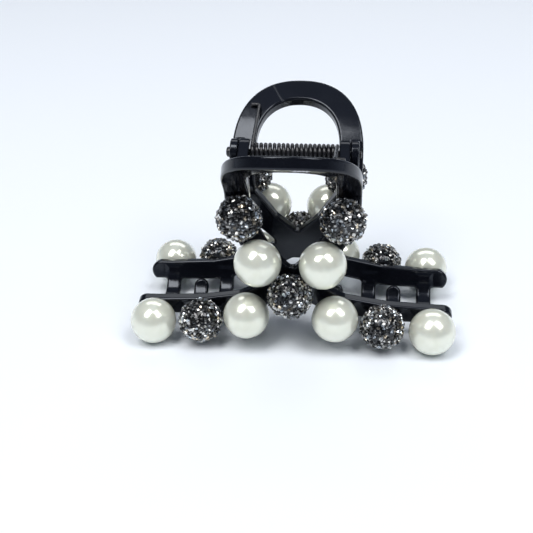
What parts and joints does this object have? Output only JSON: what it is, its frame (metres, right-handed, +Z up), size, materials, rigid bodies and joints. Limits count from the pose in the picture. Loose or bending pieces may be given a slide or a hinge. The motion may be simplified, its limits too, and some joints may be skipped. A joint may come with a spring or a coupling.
{
  "type": "claw clip",
  "caption": "Sprung hair claw with two ring-handled arms on one hinge pin, curved interlocking teeth, and pearl and crystal-chip balls on both outer faces.",
  "frame": {"origin": "on the surface the clip stands on, below the middle of the hinge pin", "axes": "+Z up, +X along the hinge pin and the jaws, +Y towards the back arm"},
  "size_m": [0.0844, 0.0542, 0.0578],
  "materials": {
    "black_plastic": "high gloss injection moulded",
    "black_metal": "black-coated steel wire, semi-gloss",
    "pearl": "imitation pearl, cream nacre lacquer",
    "crystal": "resin ball covered in small faceted gunmetal chips"
  },
  "bodies": {
    "back_half": {"back_arm": "black_plastic", "hinge_pin": "black_metal", "spring_coil": "black_metal", "spring_back_leg": "black_metal", "back_crystal_centre": "crystal", "back_pearl_outer_left": "pearl", "back_pearl_outer_right": "pearl", "back_pearl_inner_left": "pearl", "back_pearl_inner_right": "pearl", "back_pearl_leg_left": "pearl", "back_pearl_leg_right": "pearl", "back_crystal_middle_left": "crystal", "back_crystal_middle_right": "crystal", "back_crystal_hinge_left": "crystal", "back_crystal_hinge_right": "crystal"},
    "front_half": {"front_arm": "black_plastic", "spring_front_leg": "black_metal", "front_crystal_centre": "crystal", "front_pearl_outer_left": "pearl", "front_pearl_outer_right": "pearl", "front_pearl_inner_left": "pearl", "front_pearl_inner_right": "pearl", "front_pearl_leg_left": "pearl", "front_pearl_leg_right": "pearl", "front_crystal_middle_left": "crystal", "front_crystal_middle_right": "crystal", "front_crystal_hinge_left": "crystal", "front_crystal_hinge_right": "crystal"}
  },
  "joints": [
    {"name": "jaw_hinge", "type": "hinge", "parent": "back_half", "child": "front_half", "pos_m": [0, 0, 0.0475], "axis": [-1, 0, 0], "range_deg": [0, 80], "stiffness_Nm_per_rad": 0.1, "springref_deg": -57.3}
  ]
}
